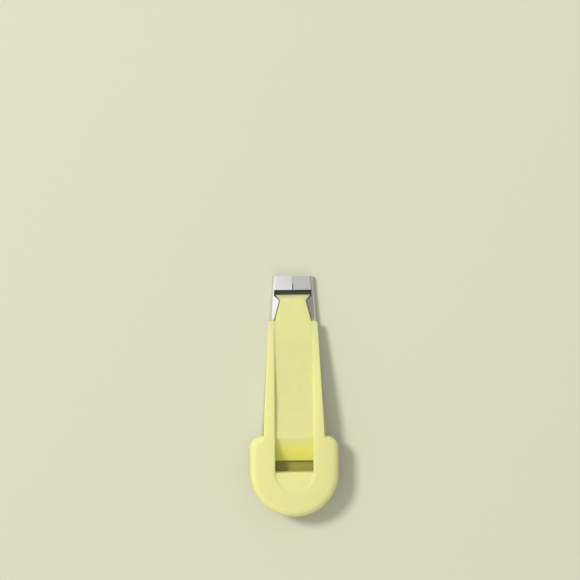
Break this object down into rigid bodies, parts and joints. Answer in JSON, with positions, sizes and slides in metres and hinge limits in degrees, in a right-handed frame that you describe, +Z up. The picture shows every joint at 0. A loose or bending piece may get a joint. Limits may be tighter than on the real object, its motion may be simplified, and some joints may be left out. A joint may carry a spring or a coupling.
{
  "type": "bias tape maker",
  "caption": "Hand-pulled bias tape maker for fusible tape: a folded steel channel with a closed tip under a plastic web guide with a channel, a slot and a round head.",
  "frame": {"origin": "middle of the part's bounding box at the underside of the metal floor", "axes": "+Z up, +Y towards the metal tip that the tape leaves by, +X to the right seen from above"},
  "size_m": [0.0278, 0.076, 0.0102],
  "materials": {
    "nickel_plate": "bright nickel plate on sheet steel",
    "guide_plastic": "smooth pale yellow moulding, slightly see-through",
    "former_plastic": "smooth olive yellow moulding"
  },
  "bodies": {
    "root": {"tape_folder": "nickel_plate", "fabric_former": "former_plastic", "web_guide": "guide_plastic"}
  },
  "joints": []
}
